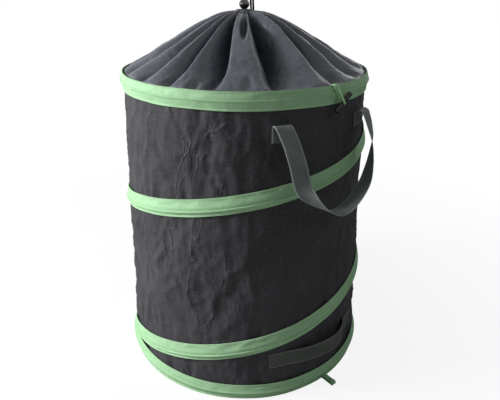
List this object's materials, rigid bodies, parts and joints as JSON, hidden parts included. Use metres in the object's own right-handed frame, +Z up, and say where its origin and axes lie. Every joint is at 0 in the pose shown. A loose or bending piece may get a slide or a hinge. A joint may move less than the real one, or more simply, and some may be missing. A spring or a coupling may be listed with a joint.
{
  "type": "pop up leaf bag",
  "caption": "Round fabric garden bag held open by a coiled spring wire, with a drawcord cover and cord lock, webbing carry handles, a tipping handle and closing toggles.",
  "frame": {"origin": "on the drum's axis, on the ground that the bag stands on", "axes": "+Z up along the drum's axis, +X towards the side with the tipping handle"},
  "size_m": [0.5998, 0.5074, 0.7566],
  "materials": {
    "wall_fabric": "matte woven",
    "panel_fabric": "matte woven",
    "band_fabric": "matte woven",
    "cover_fabric": "satin",
    "webbing": "matte woven",
    "elastic": "matte",
    "cord": "matte braided",
    "lock_plastic": "gloss",
    "toggle_plastic": "satin",
    "spring_steel": "satin"
  },
  "bodies": {
    "base": {"base_panel": "panel_fabric", "wall": "wall_fabric", "bottom_sleeve": "band_fabric", "bottom_hoop": "spring_steel", "bottom_ferrule": "spring_steel", "spiral_sleeve": "band_fabric", "spiral_wire": "spring_steel", "drawcord_tail_left": "cord", "drawcord_tail_right": "cord", "drawcord_knot": "cord"},
    "rim": {"top_sleeve": "band_fabric", "top_hoop": "spring_steel", "top_ferrule": "spring_steel", "cover": "cover_fabric"},
    "neck": {"neck_hem": "cover_fabric", "drawcord_in_hem": "cord"},
    "cord_lock": {"cord_lock_body": "lock_plastic", "cord_lock_spring": "spring_steel"},
    "lock_plunger": {"cord_lock_plunger": "lock_plastic"},
    "handle_mount_a": {"carry_tab_a_left": "webbing", "carry_tab_a_right": "webbing"},
    "handle_mount_b": {"carry_tab_b_left": "webbing", "carry_tab_b_right": "webbing"},
    "carry_handle_a": {"carry_loop_a": "webbing"},
    "carry_handle_b": {"carry_loop_b": "webbing"},
    "tip_mount": {"tip_tab_left": "webbing", "tip_tab_right": "webbing"},
    "tip_handle": {"tip_strap": "webbing"},
    "toggle_cord_a": {"toggle_loop_a": "elastic"},
    "toggle_cord_b": {"toggle_loop_b": "elastic"},
    "toggle_bar_a": {"toggle_a": "toggle_plastic"},
    "toggle_bar_b": {"toggle_b": "toggle_plastic"},
    "floor_loop_body_a": {"floor_loop_a": "band_fabric"},
    "floor_loop_body_b": {"floor_loop_b": "band_fabric"}
  },
  "joints": [
    {"name": "collapse", "type": "slide", "parent": "base", "child": "rim", "axis": [0, 0, 1], "range_m": [-0.505, 0], "stiffness_N_per_m": 60, "springref_m": 0.2, "deforming": ["wall", "spiral_sleeve", "spiral_wire", "cover", "carry_tab_a_left", "carry_tab_a_right", "carry_tab_b_left", "carry_tab_b_right", "tip_tab_left", "tip_tab_right", "drawcord_tail_left", "drawcord_tail_right", "drawcord_knot"]},
    {"name": "neck_settle", "type": "slide", "parent": "rim", "child": "neck", "axis": [0, 0, 1], "range_m": [-0.1125, 0]},
    {"name": "lock_slide", "type": "slide", "parent": "neck", "child": "cord_lock", "axis": [0, 0, 1], "range_m": [0, 0.01]},
    {"name": "plunger_press", "type": "slide", "parent": "cord_lock", "child": "lock_plunger", "axis": [0.766, -0.6428, 0], "range_m": [0, 0.0025], "stiffness_N_per_m": 400, "springref_m": -0.003, "deforming": ["cord_lock_spring"]},
    {"name": "handle_mount_slide_a", "type": "slide", "parent": "base", "child": "handle_mount_a", "axis": [0, 0, 1], "range_m": [-0.47, 0]},
    {"name": "carry_lift_a", "type": "hinge", "parent": "handle_mount_a", "child": "carry_handle_a", "pos_m": [0.23986, 0, 0.5425], "axis": [0, -1, 0], "range_deg": [0, 120]},
    {"name": "handle_mount_slide_b", "type": "slide", "parent": "base", "child": "handle_mount_b", "axis": [0, 0, 1], "range_m": [-0.47, 0]},
    {"name": "carry_lift_b", "type": "hinge", "parent": "handle_mount_b", "child": "carry_handle_b", "pos_m": [-0.23986, 0, 0.5425], "axis": [0, 1, 0], "range_deg": [0, 120]},
    {"name": "tip_mount_slide", "type": "slide", "parent": "base", "child": "tip_mount", "axis": [0, 0, 1], "range_m": [-0.0577, 0]},
    {"name": "tip_lift", "type": "hinge", "parent": "tip_mount", "child": "tip_handle", "pos_m": [0.24929, 0.01095, 0.1005], "axis": [0.0393, -0.9981, -0.0482], "range_deg": [0, 75]},
    {"name": "toggle_swing_a", "type": "hinge", "parent": "rim", "child": "toggle_cord_a", "pos_m": [0.24805, 0.00866, 0.6016], "axis": [0.0349, -0.9994, 0], "range_deg": [0, 150]},
    {"name": "toggle_turn_a", "type": "hinge", "parent": "toggle_cord_a", "child": "toggle_bar_a", "pos_m": [0.25955, 0.02307, 0.569], "axis": [0.9994, 0.0349, 0], "range_deg": [-10, 10]},
    {"name": "floor_loop_lift_a", "type": "hinge", "parent": "base", "child": "floor_loop_body_a", "pos_m": [0.25155, 0.01318, 0.0105], "axis": [0.0523, -0.9986, 0], "range_deg": [0, 45]},
    {"name": "toggle_swing_b", "type": "hinge", "parent": "rim", "child": "toggle_cord_b", "pos_m": [-0.24805, -0.00866, 0.6016], "axis": [-0.0349, 0.9994, 0], "range_deg": [0, 150]},
    {"name": "toggle_turn_b", "type": "hinge", "parent": "toggle_cord_b", "child": "toggle_bar_b", "pos_m": [-0.25955, -0.02307, 0.569], "axis": [-0.9994, -0.0349, 0], "range_deg": [-10, 10]},
    {"name": "floor_loop_lift_b", "type": "hinge", "parent": "base", "child": "floor_loop_body_b", "pos_m": [-0.25155, -0.01318, 0.0105], "axis": [-0.0523, 0.9986, 0], "range_deg": [0, 45]}
  ],
  "couplings": [
    {"joint": "neck_settle", "follows": "collapse", "ratio": 0.2221},
    {"joint": "handle_mount_slide_a", "follows": "collapse", "ratio": 0.93053},
    {"joint": "handle_mount_slide_b", "follows": "collapse", "ratio": 0.93053},
    {"joint": "tip_mount_slide", "follows": "collapse", "ratio": 0.11407}
  ]
}
